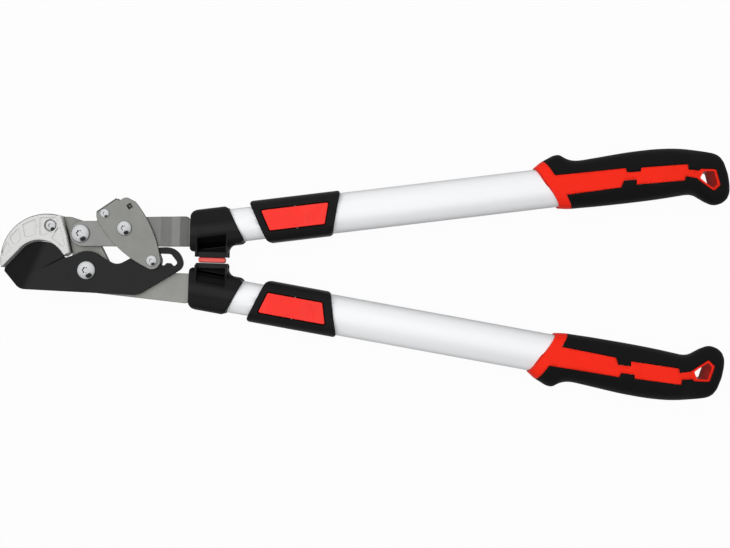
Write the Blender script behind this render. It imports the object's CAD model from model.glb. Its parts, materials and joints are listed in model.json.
"""Telescopic ratchet lopper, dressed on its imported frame.

Lengths are millimetres in two flat frames and become metres when a mesh is made. Points of the head
are measured from the blade pivot. Points of a handle lie along its axis, outwards and up.
"""
import json
import math

import bmesh
import bpy
import numpy as np
from mathutils import Matrix, Vector
from mathutils.geometry import delaunay_2d_cdt

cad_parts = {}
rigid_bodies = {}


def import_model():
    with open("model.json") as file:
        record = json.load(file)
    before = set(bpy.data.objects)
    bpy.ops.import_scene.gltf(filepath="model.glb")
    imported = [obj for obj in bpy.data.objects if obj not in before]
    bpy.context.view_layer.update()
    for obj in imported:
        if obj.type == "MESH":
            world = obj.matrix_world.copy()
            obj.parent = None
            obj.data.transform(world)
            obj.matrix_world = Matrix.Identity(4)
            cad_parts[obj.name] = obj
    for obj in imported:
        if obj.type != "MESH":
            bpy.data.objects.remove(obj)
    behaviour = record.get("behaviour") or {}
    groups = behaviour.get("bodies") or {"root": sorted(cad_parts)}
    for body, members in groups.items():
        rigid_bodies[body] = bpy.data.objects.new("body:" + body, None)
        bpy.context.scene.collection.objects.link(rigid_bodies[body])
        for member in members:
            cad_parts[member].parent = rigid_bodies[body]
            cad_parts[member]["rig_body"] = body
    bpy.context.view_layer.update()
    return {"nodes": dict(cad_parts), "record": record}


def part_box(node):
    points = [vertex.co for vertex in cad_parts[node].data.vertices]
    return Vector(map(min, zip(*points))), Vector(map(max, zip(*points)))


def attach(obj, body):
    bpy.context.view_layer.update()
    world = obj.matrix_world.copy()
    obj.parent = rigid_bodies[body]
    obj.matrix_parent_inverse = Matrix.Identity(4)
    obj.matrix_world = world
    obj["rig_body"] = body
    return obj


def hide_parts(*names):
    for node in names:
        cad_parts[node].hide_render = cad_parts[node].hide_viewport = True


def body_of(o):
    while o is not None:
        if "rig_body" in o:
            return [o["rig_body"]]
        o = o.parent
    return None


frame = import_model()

# Places taken from the frame
MM = 0.001
joint = {j["name"]: j for j in frame["record"]["behaviour"]["joints"]}


def pivot_of(name):
    """Point of a joint's axis, in millimetres of the frame."""
    return np.array(joint[name]["pos_m"]) / MM


PIVOT = pivot_of("blade_swing")
ARM = (pivot_of("handle_open") - PIVOT)[:2]
LINK = (pivot_of("link_swing") - PIVOT)[:2]
AXIS = np.array(joint["upper_handle_slide"]["axis"][:2])
AXIS_CROSS = 82.0
COLLAR_AT = 177.5
UPPER, LOWER = 1, -1
SIDES = {UPPER: "upper", LOWER: "lower"}


def box_of(node):
    """Lowest and highest corner of a node, with heights from the middle of the tubes."""
    level = np.array([0, 0, PIVOT[2]])
    return [np.array(end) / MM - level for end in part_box(node)]


def heights(node):
    """Lowest and highest level of a node."""
    low, high = box_of(node)
    return low[2], high[2]


PLATE_LOW, PLATE_TOP = heights("lower_arm_plate")
BLADE_LOW, BLADE_TOP = heights("blade")
ANVIL_LOW, ANVIL_TOP = heights("anvil")
LINK_LOW, LINK_TOP = heights("link_yoke")
TANG_LOW = heights("upper_arm_bar")[0]


def head(p, z):
    """Plan points of the head at height z, as points of the frame."""
    p = np.asarray(p, float)
    z = np.broadcast_to(z, p.shape[:-1])
    return np.stack([p[..., 0] + PIVOT[0], p[..., 1] + PIVOT[1], z + PIVOT[2]], -1)


def handle(side, along, out, up):
    """Points of one handle as points of the frame: its axis leans by the slide's direction."""
    along, out, up = np.broadcast_arrays(along, out, up)
    x = along * AXIS[0] - out * AXIS[1] + PIVOT[0] - AXIS_CROSS
    y = side * (along * AXIS[1] + out * AXIS[0])
    return np.stack([x, y, up + PIVOT[2]], -1)


def plan_of_handle(side, along, out):
    """Points of one handle as plan points of the head."""
    return (handle(side, along, out, 0.0) - PIVOT)[..., :2]


# Plane curves
TINY = 1e-12


def unit(v):
    """Vector of length one."""
    return np.asarray(v, float) / np.linalg.norm(v)


def polar(centre, r, a):
    """Points at a radius and at angles in degrees round a centre."""
    a = np.radians(a)
    return np.asarray(centre, float) + np.stack([r * np.cos(a), r * np.sin(a)], -1)


def arc(centre, r, start, stop, n=16):
    """Arc of n equal steps from one angle to another."""
    return polar(centre, r, np.linspace(start, stop, n + 1))


def loop_of(*parts):
    """Single points and lines of points joined into one line."""
    return np.concatenate([np.atleast_2d(np.asarray(p, float)) for p in parts])


def corner(a, b, c, r, n):
    """Arc that rounds the corner b between a and c: its centre lies on the bisector."""
    u, v = unit(a - b), unit(c - b)
    half = math.acos(np.clip(u @ v, -1, 1)) / 2
    centre = b + unit(u + v) * r / math.sin(half)
    ends = [b + w * r / math.tan(half) - centre for w in (u, v)]
    start, stop = [math.degrees(math.atan2(e[1], e[0])) for e in ends]
    return arc(centre, r, start, start + (stop - start + 540) % 360 - 180, n)


def rounded(corners, n=6):
    """Closed outline through corners (x, y) or (x, y, radius)."""
    xy = np.array([c[:2] for c in corners], float)
    turns = zip(np.roll(xy, 1, 0), xy, np.roll(xy, -1, 0), corners)
    return loop_of(*[corner(a, b, c, k[2], n) if len(k) > 2 and k[2] else b for a, b, c, k in turns])


def bulge(a, b, sag, n=12):
    """Arc from a to b that stands out by sag to the right of the way from a to b."""
    a, b = np.asarray(a, float), np.asarray(b, float)
    chord = np.linalg.norm(b - a)
    r = chord ** 2 / 8 / sag + sag / 2
    left = unit([-(b - a)[1], (b - a)[0]])
    centre = (a + b) / 2 + left * (r - sag)
    half = math.degrees(math.asin(chord / 2 / r))
    out = math.degrees(math.atan2(*-left[::-1]))
    return arc(centre, r, out - half, out + half, n)


def inset(loop, d):
    """Closed loop moved to its left by d: each corner goes along the mitre of its two sides."""
    ahead = np.roll(loop, -1, 0) - loop
    ahead = ahead / np.linalg.norm(ahead, axis=1, keepdims=True)
    left = np.stack([-ahead[:, 1], ahead[:, 0]], 1)
    before = np.roll(left, 1, 0)
    return loop + d * (left + before) / (1 + np.sum(left * before, 1, keepdims=True))


def finer(line, step, closed=True):
    """Outline with each side cut into equal lengths of at most step."""
    line = np.asarray(line, float)
    ends = np.roll(line, -1, 0) if closed else line[1:]
    starts = line if closed else line[:-1]
    counts = np.maximum(1, np.ceil(np.linalg.norm(ends - starts, axis=1) / step)).astype(int)
    side = np.repeat(np.arange(len(starts)), counts)
    share = (np.arange(len(side)) - np.repeat(np.cumsum(counts) - counts, counts)) / counts[side]
    points = starts[side] + (ends - starts)[side] * share[:, None]
    return points if closed else loop_of(points, line[-1])


def crossed(loop, xs):
    """Loop with a point added wherever it crosses one of the lines x = constant."""
    for x in xs:
        after = np.roll(loop, -1, 0)
        hits = np.flatnonzero((loop[:, 0] - x) * (after[:, 0] - x) < 0)
        share = (x - loop[hits, 0]) / (after[hits, 0] - loop[hits, 0])
        loop = np.insert(loop, hits + 1, loop[hits] + (after[hits] - loop[hits]) * share[:, None], 0)
    return loop


def inside(points, loops):
    """True for points that an odd number of sides pass above, taking all loops together."""
    a = np.concatenate(loops)
    b = np.concatenate([np.roll(loop, -1, 0) for loop in loops])
    x, y = points[:, :1], points[:, 1:2]
    spans = (a[:, 0] > x) != (b[:, 0] > x)
    run = np.where(np.abs(b[:, 0] - a[:, 0]) < TINY, TINY, b[:, 0] - a[:, 0])
    above = a[:, 1] + (x - a[:, 0]) / run * (b[:, 1] - a[:, 1]) > y
    return (spans & above).sum(1) % 2 == 1


def smooth_through(stations, column, x):
    """Cubic through stations whose slopes are those of the neighbouring chords, level at both ends."""
    s = np.asarray(stations, float)
    at, value = s[:, 0], s[:, column]
    slope = np.zeros(len(s))
    slope[1:-1] = (value[2:] - value[:-2]) / (at[2:] - at[:-2])
    i = np.clip(np.searchsorted(at, x, side="right") - 1, 0, len(s) - 2)
    d = at[i + 1] - at[i]
    t = np.clip((x - at[i]) / d, 0, 1)
    ease = t * t * (3 - 2 * t)
    lift = d * t * (1 - t) * ((1 - t) * slope[i] - t * slope[i + 1])
    return value[i] + ease * (value[i + 1] - value[i]) + lift


# Surfaces
NEAR = 1e-6  # distance at which plan points are one
WELD = 0.002  # distance at which points of a skin are one
SLIVER = 0.0005  # least height of a triangle
LEVEL_RIM = 0.25  # level strip of a face along its edge
NET_CLEAR = 0.45  # share of the step that a net keeps from its outline
WALL_LEAN, FLOOR_LEAN = 0.8, 1.8  # shares of a recess's lean at its wall's foot and its floor's edge
QUARTER = np.radians(np.linspace(0, 90, 5))


class Skin:
    """Patches of one piece, in millimetres, welded into a single mesh when the piece is made."""

    def __init__(self):
        self.points, self.faces, self.size = [], [], 0

    def add(self, points, faces):
        """Points in space, and faces that count from the first of them."""
        points = points.reshape(-1, 3)
        self.points.append(points)
        self.faces += (faces + self.size).tolist()
        self.size += len(points)

    def grid(self, rows, wrap=True, drop=False):
        """Quads between neighbouring rows of points, without those to drop.

        With wrap, the last point of each row is joined to its first.
        """
        rows = np.asarray(rows)
        n, m = rows.shape[:2]
        i, j = np.meshgrid(np.arange(n - 1), np.arange(m if wrap else m - 1), indexing="ij")
        k = (j + 1) % m
        quads = np.stack([i * m + j, i * m + k, (i + 1) * m + k, (i + 1) * m + j], -1)
        self.add(rows, quads[~np.broadcast_to(drop, quads.shape[:2])])

    def patch(self, loops, place, step=None, creases=()):
        """Region of a plane bounded by loops, cut into triangles and carried into space by place.

        With a step, a square net of points fills the region, so that a curved place stays smooth.
        """
        points = np.concatenate(loops)
        sizes = [len(loop) for loop in loops]
        first = np.cumsum([0] + sizes[:-1])
        edges = [f + np.stack([np.arange(n), (np.arange(n) + 1) % n], 1) for f, n in zip(first, sizes)]
        edges += [np.array(creases).reshape(-1, 2).astype(int)]
        if step:
            low, high = points.min(0), points.max(0)
            lines = [np.arange(a + step / 2, b, step) for a, b in zip(low, high)]
            net = np.stack(np.meshgrid(*lines), -1).reshape(-1, 2)
            net = net[inside(net, loops)]
            near = np.min(np.linalg.norm(net[:, None] - points[None], axis=2), axis=1)
            points = np.concatenate([points, net[near > step * NET_CLEAR]])
        middle = points.mean(0)
        flat = [Vector(p) for p in points - middle]
        found = delaunay_2d_cdt(flat, np.concatenate(edges).tolist(), [], 0, NEAR, False)
        plane = np.array([v[:] for v in found[0]]) + middle
        faces = np.array(found[2])
        a, b, c = [plane[faces[:, i]] for i in range(3)]
        u, v = b - a, c - a
        longest = np.max([np.linalg.norm(w, axis=1) for w in (u, v, v - u)], axis=0)
        high = np.abs(u[:, 0] * v[:, 1] - u[:, 1] * v[:, 0]) / longest
        faces = faces[inside((a + b + c) / 3, loops) & (high > SLIVER)]
        self.add(place(plane), faces)

    def make(self, name, finish, node, sharp=35, thick=0.0):
        """Welds the patches and sets the piece in the place of its node, on the node's body."""
        mesh = bpy.data.meshes.new(name)
        mesh.from_pydata((np.concatenate(self.points) * MM).tolist(), [], self.faces)
        welded = bmesh.new()
        welded.from_mesh(mesh)
        bmesh.ops.remove_doubles(welded, verts=welded.verts, dist=WELD * MM)
        bmesh.ops.dissolve_degenerate(welded, edges=welded.edges, dist=WELD * MM / 4)
        bmesh.ops.recalc_face_normals(welded, faces=welded.faces)
        welded.to_mesh(mesh)
        welded.free()
        mesh.shade_smooth()
        mesh.set_sharp_from_angle(angle=math.radians(sharp))
        piece = bpy.data.objects.new(name, mesh)
        bpy.context.scene.collection.objects.link(piece)
        mesh.materials.append(finish.material)
        if thick:
            wall = piece.modifiers.new("wall", "SOLIDIFY")
            wall.thickness, wall.offset = thick * MM, -1
        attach(piece, body_of(frame["nodes"][node])[0])
        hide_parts(node)


def pressed(skin, loops, low, top, edge, creases=(), recesses=(), step=None, place=head):
    """Sheet between the heights low and top, each a number or a function of plan points.

    Each outline is carried down a profile of a narrow level rim and two quarter rounds. Recesses are
    outlines in the upper face with a depth, each carried down its own rim and wall to a floor.
    """
    at_top = top if callable(top) else lambda p: np.full(p.shape[:-1], float(top))
    at_low = low if callable(low) else lambda p: np.full(p.shape[:-1], float(low))
    inward = np.append(edge + LEVEL_RIM, edge * (1 - np.sin(QUARTER)))
    sunk = np.append(0.0, edge * (1 - np.cos(QUARTER)))
    for loop in loops:
        rings = [inset(loop, d) for d in inward]
        upper = [place(r, at_top(r) - s) for r, s in zip(rings, sunk)]
        under = [place(r, at_low(r) + s) for r, s in zip(rings, sunk)]
        skin.grid(np.array(upper + under[::-1]))
    faces = [inset(loop, edge + LEVEL_RIM) for loop in loops]
    rims = [recess(skin, at_top, place, *r) for r in recesses]
    skin.patch(faces + rims, lambda p: place(p, at_top(p)), step, creases)
    skin.patch(faces, lambda p: place(p, at_low(p)), step, creases)


def recess(skin, at_top, place, outline, depth, rim=0.35, lean=0.25, pits=()):
    """Pocket under a face: a rounded rim, a wall that leans inwards by lean, and a floor with pits."""
    grown = np.append(rim + LEVEL_RIM, rim * (1 - np.sin(QUARTER)))
    drops = np.append(0.0, rim * (1 - np.cos(QUARTER))).tolist()
    rows = [inset(outline, -g) for g in grown]
    floor = lean * FLOOR_LEAN
    rows += [inset(outline, d) for d in (lean * WALL_LEAN, floor, floor + LEVEL_RIM)]
    drops += [depth - rim, depth, depth]
    skin.grid(np.array([place(r, at_top(r) - d) for r, d in zip(rows, drops)]))

    def at_floor(p):
        return at_top(p) - depth

    rims = [recess(skin, at_floor, place, *pit) for pit in pits]
    skin.patch([rows[-1]] + rims, lambda p: place(p, at_floor(p)))
    return rows[0]


def circle_hole(centre, d, n=40):
    """Round hole, taken the other way round than an outline."""
    return arc(centre, d / 2, 360, 360 / n, n - 1)


# Shader maths and finishes
class Value:
    """A shader value in Python arithmetic: every operator adds one Math node."""

    def __init__(self, nodes, socket):
        self.nodes, self.socket = nodes, socket

    def maths(self, operation, first, second=0.0):
        """New Math node on one or two values."""
        return self.nodes.node("Math", {"operation": operation}, {0: first, 1: second})

    def __add__(self, other):
        return self.maths("ADD", self, other)

    def __radd__(self, other):
        return self.maths("ADD", other, self)

    def __sub__(self, other):
        return self.maths("SUBTRACT", self, other)

    def __rsub__(self, other):
        return self.maths("SUBTRACT", other, self)

    def __mul__(self, other):
        return self.maths("MULTIPLY", self, other)

    def __rmul__(self, other):
        return self.maths("MULTIPLY", other, self)

    def most(self, other):
        """The greater of two values."""
        return self.maths("MAXIMUM", self, other)

    def size(self):
        """The value without its sign."""
        return self.maths("ABSOLUTE", self)

    def ramp(self, start, stop):
        """Smooth step from 0 where the value is start to 1 where it is stop."""
        return self.nodes.node("MapRange", {"interpolation_type": "SMOOTHSTEP"},
                               {"Value": self, "From Min": start, "From Max": stop})

    def band(self, start, stop, soft):
        """1 between start and stop, fading out over soft at both ends."""
        return self.ramp(start - soft, start + soft) * self.ramp(stop + soft, stop - soft)


class Nodes:
    """Node tree of a finish or of the sky."""

    def __init__(self, tree):
        self.tree = tree

    def node(self, kind, settings=None, sockets=None, output=0):
        """New node: its settings first, then values or links of its sockets; gives one output."""
        made = self.tree.nodes.new("ShaderNode" + kind)
        for key, value in (settings or {}).items():
            setattr(made, key, value)
        self.fill(made, sockets or {})
        return Value(self, made.outputs[output])

    def fill(self, made, sockets):
        """Values or links of a node's sockets."""
        for key, value in sockets.items():
            if isinstance(value, Value):
                self.tree.links.new(value.socket, made.inputs[key])
            else:
                made.inputs[key].default_value = value

    def parts(self, vector):
        """The three numbers of a vector."""
        made = self.node("SeparateXYZ", None, {"Vector": vector}).socket.node
        return [Value(self, output) for output in made.outputs]

    def rays(self):
        """1 for the camera's own rays, and 1 for mirrored and transmitted ones."""
        path = self.node("LightPath").socket.node
        kinds = ("Is Camera Ray", "Is Glossy Ray", "Is Transmission Ray")
        camera, glossy, through = [Value(self, path.outputs[k]) for k in kinds]
        return camera, glossy.most(through)


class Finish(Nodes):
    """Node material of one surface, with the record's slot that it belongs to."""

    def __init__(self, name, slot):
        self.slot = slot
        self.material = bpy.data.materials.new(name)
        self.material.use_nodes = True
        super().__init__(self.material.node_tree)
        self.shader = self.tree.nodes["Principled BSDF"]
        self.place = self.node("TexCoord", output="Object")

    def noise(self, size, detail=3.0, stretch=(1, 1, 1), turn=0.0, rough=0.55):
        """Noise with features of about size millimetres, stretched and turned about the vertical."""
        scale = [1 / (size * MM * s) for s in stretch]
        where = self.node("Mapping", {"vector_type": "POINT"}, {
            "Vector": self.node("Mapping", None, {"Vector": self.place, "Rotation": (0, 0, turn)}),
            "Scale": scale})
        return self.node("TexNoise", None, {
            "Vector": where, "Scale": 1.0, "Detail": detail, "Roughness": rough}, "Fac")

    def mix(self, share, low, high):
        """Colour between low and high."""
        return self.node("Mix", {"data_type": "RGBA"}, {0: share, 6: low, 7: high}, 2)

    def between(self, value, low, high):
        """Value from 0.3 to 0.7 spread over low to high, which is where a noise mostly lies."""
        return self.node("MapRange", None, {
            "Value": value, "From Min": 0.3, "From Max": 0.7, "To Min": low, "To Max": high})

    def bump(self, height, depth):
        """Normal of a height field of depth millimetres."""
        return self.node("Bump", None, {"Height": height, "Distance": depth * MM, "Strength": 1.0})

    def past(self, point, way):
        """Millimetres to the left of the line through a plan point of the frame, along a way."""
        left = np.array([-way[1], way[0]])
        x, y, _ = self.parts(self.place)
        return x * (left[0] / MM) + y * (left[1] / MM) - float(left @ point)

    def leaning(self, start=0.95, stop=0.6):
        """1 on walls and 0 on level faces, between two upward parts of the normal."""
        facing = self.node("TexCoord", output="Normal")
        return self.parts(facing)[2].size().ramp(start, stop)

    def up(self):
        """Millimetres above the middle of the tubes."""
        return self.parts(self.place)[2] * (1 / MM) - PIVOT[2]

    def on_handle(self):
        """Millimetres from the crossing of the axes: along the centre line, along a handle, outwards."""
        x = self.past((PIVOT[0] - AXIS_CROSS, 0.0), (0.0, -1.0))
        y = self.past((0.0, 0.0), (1.0, 0.0)).size()
        return x, x * AXIS[0] + y * AXIS[1], y * AXIS[0] - x * AXIS[1]

    def set(self, **sockets):
        """Sockets of the shader by name, with _ for a space."""
        self.fill(self.shader, {k.replace("_", " "): v for k, v in sockets.items()})
        return self


def srgb(r, g, b):
    """Linear colour of a displayed one."""
    c = np.array([r, g, b]) / 255
    linear = np.where(c <= 0.04045, c / 12.92, ((c + 0.055) / 1.055) ** 2.4)
    return (*linear.tolist(), 1.0)


BRIGHTEST, BLOTCH_SIZE, GRAIN_SHARE = 1.15, 14, 0.6
NO_COLOUR = (0.0, 0.0, 0.0, 1.0)


def painted(name, slot, colour, rough, grain=0.5, depth=0.02, metal=0.0, blotch=0.06, spread=0.06,
            stretch=(1, 1, 1), turn=0.0, wall=1.0, marks=None, **sockets):
    """Finish with a fine grain in its height, and slow blotches in its colour and gloss.

    Walls keep the share wall of the colour, and marks gives the share that each place keeps.
    """
    f = Finish(name, slot)
    slow = f.noise(BLOTCH_SIZE, 3, stretch, turn)
    fine = f.noise(grain, 2, stretch, turn, 0.7)
    shade = f.between(slow, 1 - blotch, 1 + blotch)
    if wall < 1:
        shade = shade * (1 - f.leaning() * (1 - wall))
    if marks:
        shade = shade * marks(f)
    strongest = (*[min(1.0, c * BRIGHTEST) for c in colour[:3]], 1.0)
    uneven = slow * (1 - GRAIN_SHARE) + fine * GRAIN_SHARE
    f.set(Base_Color=f.mix(shade * (1 / BRIGHTEST), NO_COLOUR, strongest), Metallic=metal,
          Roughness=f.between(uneven, rough - spread, rough + spread),
          Normal=f.bump(fine, depth), **sockets)
    return f


# Lines in plan that the marks of a finish follow
BEVEL = np.array([[-20.6, 11.5], [-42.9, -0.8], [-57.5, -13.5]])
TAB = LINK + np.array([[-26.1, 14.9], [-8.7, 27.3]])
ANVIL_FOOT, ANVIL_WAIST, ANVIL_CORNER = ARM + np.array([[-8.9, -17.6], [-12.2, -2.6], [-18.1, 15.1]])
TIP_FACET, TIP_WAY = np.array([-46.0, 4.5]), np.array([0.376, 0.927])
STEP_BACK = np.array([25, 15.5, 8.2, 0.2])
ARM_STEPS = handle(UPPER, COLLAR_AT, 0.0, 0.0)[0] - 2 - STEP_BACK


def facet_marks(f):
    """Ground facets: a dark line along the heel's bevel that thins out, and a soft edge to the tip."""
    tip_shade, above_shade, line_shade = 0.62, 0.08, 0.9
    heel, middle, _ = BEVEL + PIVOT[:2]
    way = unit(heel - middle)
    along = f.past(middle, (way[1], -way[0]))
    first = f.past(middle, way)
    tip = f.past(TIP_FACET + PIVOT[:2], TIP_WAY).ramp(-3, 5)
    above = first.ramp(-0.2, 0.6)
    line = first.size().ramp(1.0, 0.25) * along.ramp(-2, 14)
    return (1 - tip * tip_shade) * (1 - above * above_shade) * (1 - line * line_shade)


def cast_marks(f):
    """Grey lines down the rims of the cells and the outer edge.

    The wall on the right is darkest low down, under a rim that stays bright.
    """
    line_shade, wall_shade, deep_shade = 0.8, 0.50, 0.38
    y = f.past(PIVOT[:2], (1.0, 0.0))
    low = f.up().ramp(ANVIL_TOP - 2.6, ANVIL_TOP - 3.4)
    deep = low * y.ramp(ANVIL_CORNER[1] - 1, ANVIL_CORNER[1] - 12)
    rim = f.past(ANVIL_FOOT + PIVOT[:2], unit(ANVIL_CORNER - ANVIL_FOOT)).ramp(3.2, 2.2) * (1 - deep)
    line = f.up().ramp(ANVIL_TOP - 0.7, ANVIL_TOP - 0.6) * f.leaning(0.97, 0.87) * line_shade
    return 1 - line.most(f.leaning() * (wall_shade + deep * deep_shade)) * (1 - rim)


def bend_marks(f):
    """Bands where the bar was bent, and the greyer stretch beyond the link."""
    beyond_shade, near_shade, first_shade, second_shade = 0.16, 0.18, 0.22, 0.36
    x = f.past((0.0, 0.0), (0.0, -1.0))
    link_x = PIVOT[0] + LINK[0]
    first = x.band(ARM_STEPS[0], ARM_STEPS[1], 0.8)
    second = x.band(ARM_STEPS[2], ARM_STEPS[3], 0.8)
    beyond = x.ramp(link_x + 8, link_x + 20)
    near = x.band(link_x + 8, link_x + 32, 5)
    worn = f.between(f.noise(6, 3, (0.12, 1, 1)), 0.8, 1.2)
    flat = (1 - beyond * beyond_shade) * (1 - near * near_shade)
    return flat * (1 - first * worn * first_shade) * (1 - second * worn * second_shade)


def plate_marks(f):
    """Duller head of the lower plate, towards the anvil."""
    head_shade = 0.18
    return 1 - f.past(PIVOT[:2] + [20, 0], (0.0, 1.0)).ramp(-10, 20) * head_shade


def fold_marks(f):
    """Dark edge where the link's sheet is folded down along its tab."""
    fold_shade = 0.62
    a, b = TAB + PIVOT[:2]
    return 1 - f.past(a, unit(b - a)).ramp(-2.1, -1.5) * fold_shade


def tube_marks(f):
    """Satin sides, duller than the top of the tube."""
    side_shade = 0.45
    return 1 - f.leaning(0.9, 0.0) * side_shade


AXIS_TURN = math.atan2(AXIS[1], AXIS[0])
LENGTHWISE = (40, 1, 1)
MATT = {"Specular_IOR_Level": 0.07}
RED_GLOSS = {"Specular_IOR_Level": 0.18}
SATIN = {"Specular_IOR_Level": 0.30}
SHEET = dict(rough=0.46, grain=0.5, depth=0.012, metal=0.12, blotch=0.06, wall=0.22, **SATIN)
MOULDED = dict(rough=0.45, grain=0.45, depth=0.02, blotch=0.08, **MATT)
arm_steel = painted("arm_steel_finish", "arm_steel", srgb(132, 133, 129), **SHEET)
link_steel = painted("link_steel_finish", "arm_steel", srgb(131, 132, 128), marks=fold_marks, **SHEET)
bar_steel = painted("bar_steel_finish", "arm_steel", srgb(135, 136, 133), marks=bend_marks, **SHEET)
plate_steel = painted("plate_steel_finish", "arm_steel", srgb(140, 140, 136), marks=plate_marks, **SHEET)
zinc = painted("zinc_finish", "zinc", srgb(222, 224, 226), rough=0.13, grain=0.7, depth=0.008,
               metal=1.0, blotch=0.05, wall=0.45)
cast = painted("cast_finish", "cast_anvil", srgb(203, 203, 201), rough=0.45, grain=0.6, depth=0.008,
               metal=0.1, blotch=0.03, marks=cast_marks, **SATIN)
coat = painted("coat_finish", "blade_coat", srgb(39, 39, 40), rough=0.46, grain=0.35, depth=0.012,
               blotch=0.06, wall=0.2, marks=facet_marks, **MATT)
soft_black = painted("soft_black_finish", "black_grip", srgb(17, 17, 17), rough=0.62, depth=0.03,
                     blotch=0.10, **MATT)
hard_black = painted("hard_black_finish", "black_plastic", srgb(21, 21, 22), **MOULDED)
latch_red = painted("latch_red_finish", "red_plastic", srgb(251, 50, 42), rough=0.40, grain=0.6,
                    depth=0.01, blotch=0.03, **RED_GLOSS)
spring_wire = painted("spring_wire_finish", "spring_steel", srgb(170, 172, 175), rough=0.28, grain=0.4,
                      depth=0.006, metal=1.0, blotch=0.05)
tube_finish = {
    side: painted("tube_finish_" + SIDES[side], "tube_aluminium", srgb(235, 236, 238), rough=0.38,
                  grain=0.35, depth=0.0015, metal=0.12, blotch=0.02, spread=0.05, stretch=LENGTHWISE,
                  turn=-side * AXIS_TURN, marks=tube_marks, **RED_GLOSS)
    for side in SIDES}

# Head: outlines in plan
JAW_C, JAW_R, JAW_GAP = np.array([-42.5, 2.0]), 23.6, 0.4
JAW_FRONT, JAW_BACK, BLADE_BACK = 143, 34, 26
JAW_TIP, JAW_HEEL = np.array([-75.6, 0.5]), np.array([-20.3, 12.1])
ANVIL_C, ANVIL_R, ANVIL_END = np.array([-36.0, 8.0]), 42.4, 190.3
ANVIL_SCREW = np.array([-33.7, 39.7])
BLADE_TIP = np.array([-75.6, -2.9])
PAWL = np.array([59.7, 10.5])
STOP = LINK + [-18.2, 12.8]
HOOK_HOLE = LINK + [4.1, 20.1]
MAIN_HOLE, LINK_HOLE, PAWL_HOLE, STOP_HOLE = 10.1, 8.1, 6.1, 5.1
SHOULDER, SHOULDER_R = COLLAR_AT + 0.5, 2.8
LAST_SHOULDER = {UPPER: SHOULDER - 3, LOWER: SHOULDER}
SHEET_EDGE, CAST_EDGE, GROUND_EDGE = 0.7, 1.5, 0.3
TANG_END, TANG_HALF = 225.0, 9.5


def arm_end(side, inner, outer):
    """End of an arm: it enters the collar and narrows to the tang inside the tube."""
    start, stop = (inner, outer) if side > 0 else (outer, inner)
    steps = [(SHOULDER, -start, SHOULDER_R), (SHOULDER, -TANG_HALF), (TANG_END, -TANG_HALF),
             (TANG_END, TANG_HALF), (SHOULDER, TANG_HALF), (LAST_SHOULDER[side], stop, SHOULDER_R)]
    return [(*plan_of_handle(side, a, side * t), *r) for a, t, *r in steps]


def with_radius(p, r):
    """Corner of an outline that is rounded by r."""
    return (p[0], p[1], r)


PLATE_UNDER = [(-16.5, 5), (-15.5, -10, 10), (0, -20.1, 8), (21, -21.9)]
PLATE_OVER = [(23.2, -0.2, 9), (11.1, 22.2), tuple(ARM + [12.4, 0.7]),
              with_radius(ARM + [10.5, 8.5], 10), with_radius(ARM + [-11.5, 15.2], 8)]
PLATE_SHOULDERS, ANVIL_GAP = (13.8, 14.2), 0.2


def make_lower_arm():
    """Plate that carries the anvil and both main pivots, with rounded sheared edges."""
    neck = [tuple(p + [ANVIL_GAP, 0]) for p in (ANVIL_CORNER, ANVIL_WAIST, ANVIL_FOOT)]
    outline = rounded(neck + PLATE_UNDER + arm_end(LOWER, *PLATE_SHOULDERS) + PLATE_OVER)
    skin = Skin()
    holes = [circle_hole(p, MAIN_HOLE) for p in ((0, 0), ARM)]
    pressed(skin, [outline] + holes, PLATE_LOW, PLATE_TOP, SHEET_EDGE)
    skin.make("lower_arm_sheet", plate_steel, "lower_arm_plate")


CELLS = [
    [(-72.3, 25.2), (-76.3, 14.4), (-75.4, 9.2), (-68.3, 17.1)],
    [(-61.7, 36.9), (-70.1, 28.2), (-65.5, 20.3), (-59.6, 26.5)],
    [(-46.3, 45.5), (-58.6, 39.6), (-56.2, 28.1), (-46.4, 30.7)],
    [(-24.4, 40.4), (-32.1, 28.6), (-18.8, 18.5)]]
CELL_ROUND = 1.5
SCREW_CELL = [(-36, 30.5), (-26.4, 45.2), (-29, 47.4, CELL_ROUND), (-43.1, 46.5, CELL_ROUND),
              (-42.6, 30.3, CELL_ROUND)]
SCREW_CLEAR, SCREW_SWING = 1.3, -62
CELL_DEPTH, CELL_RIM, CELL_LEAN = 0.6, 0.2, 0.75
SCREW_SEAT, SCREW_BORE, BORE_RIM, BORE_LEAN = 2.0, 11.2, 0.2, 0.05


def screw_cell():
    """Cell around the anvil's screw: its right side swings out round the screw's head."""
    around = arc(ANVIL_SCREW, SCREW_BORE / 2 + SCREW_CLEAR, SCREW_SWING, 0, 8)
    return loop_of(around, rounded(SCREW_CELL)[1:])


def make_anvil():
    """Cast hook between two arcs, with five cells sunk in its face and a counterbore for the screw."""
    turn = math.degrees(math.atan2(*(ANVIL_CORNER - ANVIL_C)[::-1]))
    outline = loop_of(arc(ANVIL_C, ANVIL_R, turn, ANVIL_END, 48), JAW_TIP,
                      arc(JAW_C, JAW_R, JAW_FRONT, JAW_BACK, 32), JAW_HEEL, ANVIL_FOOT, ANVIL_WAIST)
    skin = Skin()
    sunk = CELL_DEPTH, CELL_RIM, CELL_LEAN
    cells = [(rounded([with_radius(p, CELL_ROUND) for p in cell], 4), *sunk) for cell in CELLS]
    bore = arc(ANVIL_SCREW, SCREW_BORE / 2, 0, 351, 39)
    counterbore = (bore, SCREW_SEAT - CELL_DEPTH, BORE_RIM, BORE_LEAN)
    cells.append((screw_cell(), *sunk, [counterbore]))
    pressed(skin, [outline], ANVIL_LOW, ANVIL_TOP, CAST_EDGE, recesses=cells)
    skin.make("anvil_casting", cast, "anvil")


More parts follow.
